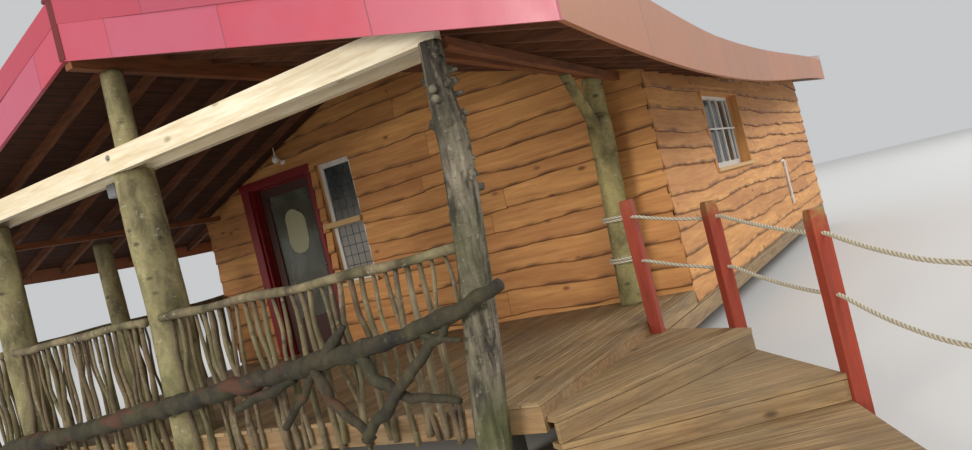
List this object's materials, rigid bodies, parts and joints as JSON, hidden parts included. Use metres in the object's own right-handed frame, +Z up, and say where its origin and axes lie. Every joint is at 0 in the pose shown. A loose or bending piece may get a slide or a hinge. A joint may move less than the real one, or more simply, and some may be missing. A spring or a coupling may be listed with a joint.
{
  "type": "tree house",
  "caption": "Timber cabin on a raised deck among tree-trunk posts, with a gabled porch, a swooping roof, stick balustrades and rope-railed steps.",
  "frame": {"origin": "on the ground, on the underside of the ridge post, under the ridge and in the line of the deck's front edge", "axes": "+X to the right along the porch front, +Y from the porch towards the rear wall, +Z up"},
  "size_m": [9.0186, 13.18, 3.87],
  "materials": {
    "deck_timber": "sawn boards, lightly weathered",
    "frame_timber": "sawn, treated",
    "concrete": "rough cast",
    "trunk_bark": "bark on, mossy",
    "stick_bark": "bark on, weathered",
    "pale_beam": "planed, knotty",
    "roof_timber": "sawn",
    "wall_boards": "waney-edged boards, oiled",
    "red_sheet": "gloss",
    "tan_sheet": "satin",
    "red_timber": "gloss paint",
    "door_timber": "dark stain",
    "white_frame": "satin paint",
    "door_pane": "smooth, with an obscured panel",
    "window_pane": "smooth",
    "brushed_metal": "brushed",
    "rope_post_timber": "red stain",
    "rope": "twisted strands",
    "lamp_glass": "opal",
    "pipe_plastic": "smooth"
  },
  "bodies": {
    "house": {"porch_deck": "deck_timber", "cabin_floor": "deck_timber", "deck_frame": "frame_timber", "floor_bearers": "frame_timber", "floor_piers": "concrete", "ridge_post": "trunk_bark", "left_post": "trunk_bark", "right_post": "trunk_bark", "forked_post": "trunk_bark", "side_post": "trunk_bark", "front_tie_beam": "pale_beam", "inner_tie_beam": "pale_beam", "right_side_beams": "roof_timber", "left_side_beam": "roof_timber", "ridge_beam": "roof_timber", "right_rafters": "roof_timber", "left_rafters": "roof_timber", "right_roof": "red_sheet", "left_roof": "red_sheet", "ridge_cap": "red_sheet", "right_barge_board": "red_sheet", "left_barge_board": "red_sheet", "rear_barge_boards": "red_sheet", "right_eave_fascia": "tan_sheet", "left_eave_fascia": "tan_sheet", "front_wall_left": "wall_boards", "front_wall_right": "wall_boards", "front_wall_over_door": "wall_boards", "right_wall": "wall_boards", "left_wall": "wall_boards", "rear_wall": "wall_boards", "door_frame": "red_timber", "window_frames": "white_frame", "window_glass": "window_pane", "window_sills": "pale_beam", "step_upper": "deck_timber", "step_middle": "deck_timber", "step_landing": "deck_timber", "rope_posts": "rope_post_timber", "upper_rope": "rope", "lower_rope": "rope", "front_balustrade": "stick_bark", "left_bay_balustrade": "stick_bark", "side_balustrade": "stick_bark", "crossing_limb": "stick_bark", "porch_lamp": "lamp_glass", "overflow_pipe": "pipe_plastic"},
    "door": {"door_leaf": "door_timber", "door_glass": "door_pane", "door_handle": "brushed_metal"}
  },
  "joints": [
    {"name": "door_hinge", "type": "hinge", "parent": "house", "child": "door", "pos_m": [-2.102, 3.232, 0.55], "axis": [0, 0, 1], "range_deg": [0, 95]}
  ]
}
